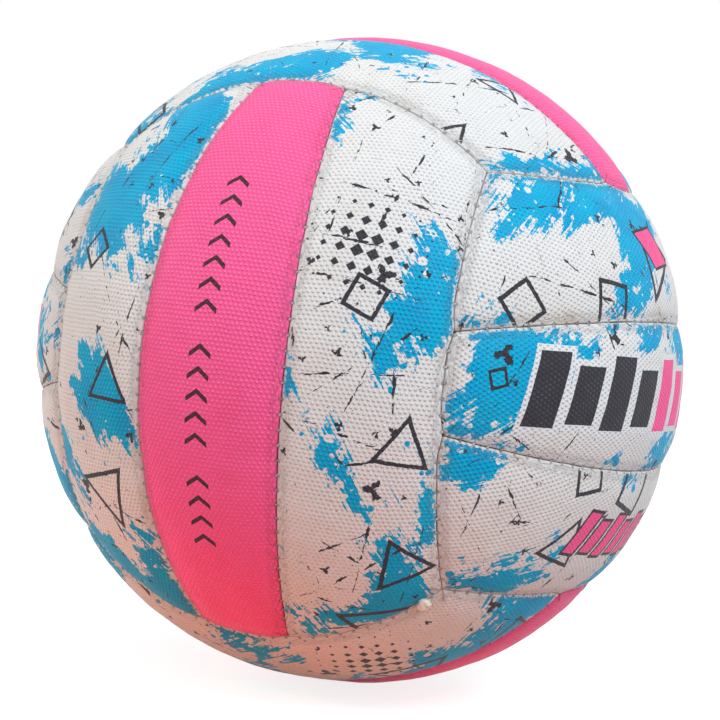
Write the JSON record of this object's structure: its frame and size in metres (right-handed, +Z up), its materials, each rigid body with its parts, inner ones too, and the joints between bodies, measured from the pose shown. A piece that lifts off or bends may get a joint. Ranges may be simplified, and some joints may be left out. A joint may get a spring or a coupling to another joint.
{
  "type": "netball",
  "caption": "Inflatable hand-stitched netball: strip panels in crossing groups with a pimpled grip, cloth linings, seam threads, a bladder and a needle valve.",
  "frame": {"origin": "centre of the ball, at the middle of its bounding box", "axes": "+Z up through the middle of the top face; -Y out through the middle of the front face, whose strips run upright; +X out through the middle of the right face; +Y out along the needle channel of the valve"},
  "size_m": [0.222, 0.2219, 0.222],
  "materials": {
    "cover_pink": "pimpled pink rubber grip, satin",
    "cover_white": "pimpled white rubber grip with blue paint-splash print, satin",
    "lining_cloth": "plain woven backing cloth, unbleached, matte",
    "seam_thread": "waxed cord, cream, matte",
    "knot_thread": "waxed cord end set in clear glue, cream",
    "bladder_rubber": "black bladder rubber, satin",
    "patch_rubber": "grey rubber patch, matte",
    "valve_rubber": "moulded black rubber, satin",
    "insert_rubber": "soft grey rubber, satin"
  },
  "bodies": {
    "root": {"front_left_panel": "cover_white", "front_centre_panel": "cover_pink", "front_right_panel": "cover_white", "right_lower_panel": "cover_white", "right_centre_panel": "cover_white", "right_upper_panel": "cover_white", "back_right_panel": "cover_white", "back_centre_panel": "cover_pink", "back_left_panel": "cover_white", "left_lower_panel": "cover_white", "left_centre_panel": "cover_white", "left_upper_panel": "cover_white", "top_rear_panel": "cover_white", "top_centre_panel": "cover_pink", "top_front_panel": "cover_white", "bottom_front_panel": "cover_white", "bottom_centre_panel": "cover_pink", "bottom_rear_panel": "cover_white", "front_left_lining": "lining_cloth", "front_centre_lining": "lining_cloth", "front_right_lining": "lining_cloth", "right_lower_lining": "lining_cloth", "right_centre_lining": "lining_cloth", "right_upper_lining": "lining_cloth", "back_right_lining": "lining_cloth", "back_centre_lining": "lining_cloth", "back_left_lining": "lining_cloth", "left_lower_lining": "lining_cloth", "left_centre_lining": "lining_cloth", "left_upper_lining": "lining_cloth", "top_rear_lining": "lining_cloth", "top_centre_lining": "lining_cloth", "top_front_lining": "lining_cloth", "bottom_front_lining": "lining_cloth", "bottom_centre_lining": "lining_cloth", "bottom_rear_lining": "lining_cloth", "front_strip_threads": "seam_thread", "right_strip_threads": "seam_thread", "back_strip_threads": "seam_thread", "left_strip_threads": "seam_thread", "top_strip_threads": "seam_thread", "bottom_strip_threads": "seam_thread", "front_left_edge_thread": "seam_thread", "front_right_edge_thread": "seam_thread", "right_bottom_edge_thread": "seam_thread", "right_top_edge_thread": "seam_thread", "back_right_edge_thread": "seam_thread", "back_left_edge_thread": "seam_thread", "left_bottom_edge_thread": "seam_thread", "left_top_edge_thread": "seam_thread", "top_rear_edge_thread": "seam_thread", "top_front_edge_thread": "seam_thread", "bottom_front_edge_thread": "seam_thread", "bottom_rear_edge_thread": "seam_thread", "closing_knot": "knot_thread", "bladder": "bladder_rubber", "balance_patch": "patch_rubber", "valve_body": "valve_rubber", "valve_insert": "insert_rubber"}
  },
  "joints": []
}
